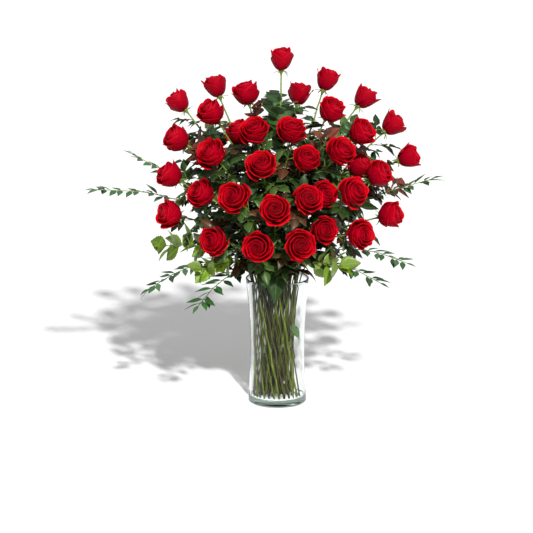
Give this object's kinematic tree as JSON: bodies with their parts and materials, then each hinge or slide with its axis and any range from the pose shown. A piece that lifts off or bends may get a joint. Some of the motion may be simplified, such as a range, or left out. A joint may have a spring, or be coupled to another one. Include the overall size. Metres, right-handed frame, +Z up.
{
  "type": "roses in a vase",
  "caption": "Bouquet of long-stemmed red roses with ruscus, leaf sprays and bronze shoots, fanned out of a tall waisted clear glass vase.",
  "frame": {"origin": "centre of the vase's foot, on the surface that it stands on", "axes": "+Z up along the vase; the bouquet's front, with the most rose heads, faces -Y"},
  "size_m": [0.7036, 0.4654, 0.7555],
  "materials": {
    "glass": "polished",
    "petals": "satin",
    "rose_stem": "satin",
    "rose_leaf": "satin",
    "ruscus": "satin",
    "spray_leaf": "satin",
    "bronze_leaf": "satin"
  },
  "bodies": {
    "root": {"bronze_spray_1": "bronze_leaf", "bronze_spray_2": "bronze_leaf", "bronze_spray_3": "bronze_leaf", "bronze_spray_4": "bronze_leaf", "leaf_spray_1": "spray_leaf", "leaf_spray_2": "spray_leaf", "leaf_spray_3": "spray_leaf", "leaf_spray_4": "spray_leaf", "leaf_spray_5": "spray_leaf", "leaf_spray_6": "spray_leaf", "leaf_spray_7": "spray_leaf", "leaf_spray_8": "spray_leaf", "leaf_spray_9": "spray_leaf", "rose_01": "petals", "rose_02": "petals", "rose_03": "petals", "rose_04": "petals", "rose_05": "petals", "rose_06": "petals", "rose_07": "petals", "rose_08": "petals", "rose_09": "petals", "rose_10": "petals", "rose_11": "petals", "rose_12": "petals", "rose_13": "petals", "rose_14": "petals", "rose_15": "petals", "rose_16": "petals", "rose_17": "petals", "rose_18": "petals", "rose_19": "petals", "rose_20": "petals", "rose_21": "petals", "rose_22": "petals", "rose_23": "petals", "rose_24": "petals", "rose_25": "petals", "rose_26": "petals", "rose_27": "petals", "rose_28": "petals", "rose_29": "petals", "rose_30": "petals", "rose_31": "petals", "rose_32": "petals", "rose_33": "petals", "rose_34": "petals", "rose_35": "petals", "rose_36": "petals", "ruscus_spray_1": "ruscus", "ruscus_spray_2": "ruscus", "ruscus_spray_3": "ruscus", "ruscus_spray_4": "ruscus", "ruscus_spray_5": "ruscus", "ruscus_spray_6": "ruscus", "ruscus_spray_7": "ruscus", "ruscus_spray_8": "ruscus", "ruscus_spray_9": "ruscus", "vase": "glass"}
  },
  "joints": []
}
